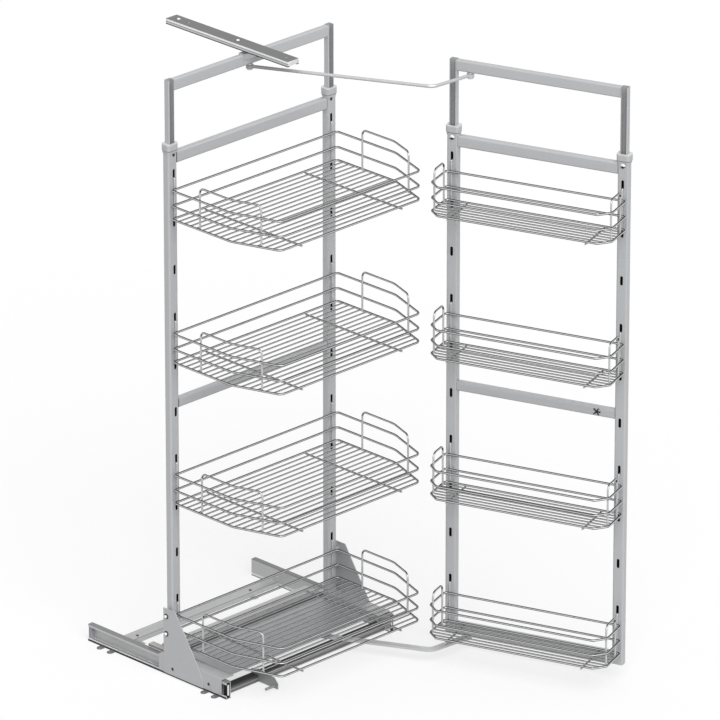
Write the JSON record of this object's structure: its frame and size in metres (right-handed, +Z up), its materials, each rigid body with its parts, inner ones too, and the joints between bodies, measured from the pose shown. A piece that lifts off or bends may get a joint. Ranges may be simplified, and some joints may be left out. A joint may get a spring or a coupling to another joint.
{
  "type": "pull out pantry frame",
  "caption": "Tall pull-out pantry frame: a slotted inner frame on floor runners with wire baskets, steered by cranked rods from a swinging door frame with shallow wire baskets.",
  "frame": {"origin": "centre of the pattern of main floor screws, on the cabinet floor", "axes": "+X to the right across the cabinet, -Y out of its front, +Z up; drawn fully open"},
  "size_m": [0.721, 1.0244, 1.4235],
  "materials": {
    "silver_paint": "satin silver powder coat",
    "zinc": "bright zinc plate",
    "chrome_wire": "polished chrome wire",
    "dark_sheet": "grey sheet steel",
    "black_plastic": "moulded black",
    "white_plastic": "moulded white acetal",
    "grey_plastic": "moulded grey"
  },
  "bodies": {
    "cabinet_rails": {"floor_rail_left": "zinc", "floor_rail_right": "zinc", "rail_strips": "black_plastic", "rail_end_blocks": "black_plastic", "rail_bumpers": "white_plastic", "front_floor_bar": "dark_sheet", "rear_floor_bar": "silver_paint", "catch_plate": "zinc", "catch_pin": "zinc", "ceiling_guide_rail": "dark_sheet"},
    "inner_frame": {"carriage_left": "silver_paint", "carriage_right": "silver_paint", "base_pan": "dark_sheet", "gusset_left": "silver_paint", "gusset_right": "silver_paint", "gusset_spacers": "zinc", "gusset_screws": "zinc", "roller_axles": "zinc", "lower_pivot_pin": "zinc", "post_left": "silver_paint", "post_right": "silver_paint", "upper_bar": "silver_paint", "middle_bar": "silver_paint", "collar_left": "grey_plastic", "collar_right": "grey_plastic", "clamp_screws": "zinc", "rear_basket_1": "chrome_wire", "rear_basket_2": "chrome_wire", "rear_basket_3": "chrome_wire", "rear_basket_4": "chrome_wire"},
    "front_wheel_left": {"front_roller_left": "white_plastic"},
    "front_wheel_right": {"front_roller_right": "white_plastic"},
    "rear_wheel_left": {"rear_roller_left": "white_plastic"},
    "rear_wheel_right": {"rear_roller_right": "white_plastic"},
    "inner_extension": {"extension_left": "silver_paint", "extension_right": "silver_paint", "top_bar": "silver_paint", "guide_saddle": "zinc", "guide_stud": "zinc", "upper_pivot_pin": "zinc"},
    "guide_wheel": {"guide_roller": "white_plastic"},
    "upper_link": {"upper_rod": "zinc"},
    "lower_link": {"lower_rod": "zinc"},
    "door_frame": {"door_post_hinge_side": "silver_paint", "door_post_free_side": "silver_paint", "door_upper_bar": "silver_paint", "door_middle_bar": "silver_paint", "door_bottom_bar": "silver_paint", "door_collars": "grey_plastic", "door_clamp_screws": "zinc", "door_lower_pin": "zinc", "door_basket_1": "chrome_wire", "door_basket_2": "chrome_wire", "door_basket_3": "chrome_wire", "door_basket_4": "chrome_wire"},
    "door_extension": {"door_extension_hinge_side": "silver_paint", "door_extension_free_side": "silver_paint", "door_top_bar": "silver_paint", "door_upper_pin": "zinc"}
  },
  "joints": [
    {"name": "frame_slide", "type": "slide", "parent": "cabinet_rails", "child": "inner_frame", "axis": [0, 1, 0], "range_m": [0, 0.2168]},
    {"name": "lower_rod_swing", "type": "hinge", "parent": "inner_frame", "child": "lower_link", "pos_m": [0, -0.0095, 0.0335], "axis": [0, 0, 1], "range_deg": [-19.02, 0]},
    {"name": "door_swing", "type": "hinge", "parent": "lower_link", "child": "door_frame", "pos_m": [0.30128, -0.38763, 0.0335], "axis": [0, 0, 1], "range_deg": [-91.58, 0]},
    {"name": "height_adjust", "type": "slide", "parent": "inner_frame", "child": "inner_extension", "axis": [0, 0, 1], "range_m": [-0.11, 0]},
    {"name": "door_height_adjust", "type": "slide", "parent": "door_frame", "child": "door_extension", "axis": [0, 0, 1], "range_m": [-0.11, 0]},
    {"name": "upper_rod_swing", "type": "hinge", "parent": "inner_extension", "child": "upper_link", "pos_m": [0, -0.0095, 1.373], "axis": [0, 0, 1], "range_deg": [-19.02, 0]},
    {"name": "guide_wheel_spin", "type": "hinge", "parent": "inner_extension", "child": "guide_wheel", "pos_m": [0, -0.0095, 1.4165], "axis": [0, 0, 1], "continuous": true},
    {"name": "rear_wheel_left_spin", "type": "hinge", "parent": "inner_frame", "child": "rear_wheel_left", "pos_m": [-0.25475, -0.028, 0.0205], "axis": [-1, 0, 0], "continuous": true},
    {"name": "rear_wheel_right_spin", "type": "hinge", "parent": "inner_frame", "child": "rear_wheel_right", "pos_m": [0.25475, -0.028, 0.0205], "axis": [-1, 0, 0], "continuous": true},
    {"name": "front_wheel_left_spin", "type": "hinge", "parent": "inner_frame", "child": "front_wheel_left", "pos_m": [-0.25475, -0.141, 0.0205], "axis": [-1, 0, 0], "continuous": true},
    {"name": "front_wheel_right_spin", "type": "hinge", "parent": "inner_frame", "child": "front_wheel_right", "pos_m": [0.25475, -0.141, 0.0205], "axis": [-1, 0, 0], "continuous": true}
  ],
  "couplings": [
    {"joint": "lower_rod_swing", "follows": "frame_slide", "rad_per_m": -1.5068},
    {"joint": "door_swing", "follows": "frame_slide", "rad_per_m": -7.3481},
    {"joint": "upper_rod_swing", "follows": "frame_slide", "rad_per_m": -1.5068},
    {"joint": "guide_wheel_spin", "follows": "frame_slide", "rad_per_m": 68.027},
    {"joint": "door_height_adjust", "follows": "height_adjust", "ratio": 1},
    {"joint": "rear_wheel_left_spin", "follows": "frame_slide", "rad_per_m": 54.945},
    {"joint": "rear_wheel_right_spin", "follows": "frame_slide", "rad_per_m": 54.945},
    {"joint": "front_wheel_left_spin", "follows": "frame_slide", "rad_per_m": 54.945},
    {"joint": "front_wheel_right_spin", "follows": "frame_slide", "rad_per_m": 54.945}
  ]
}
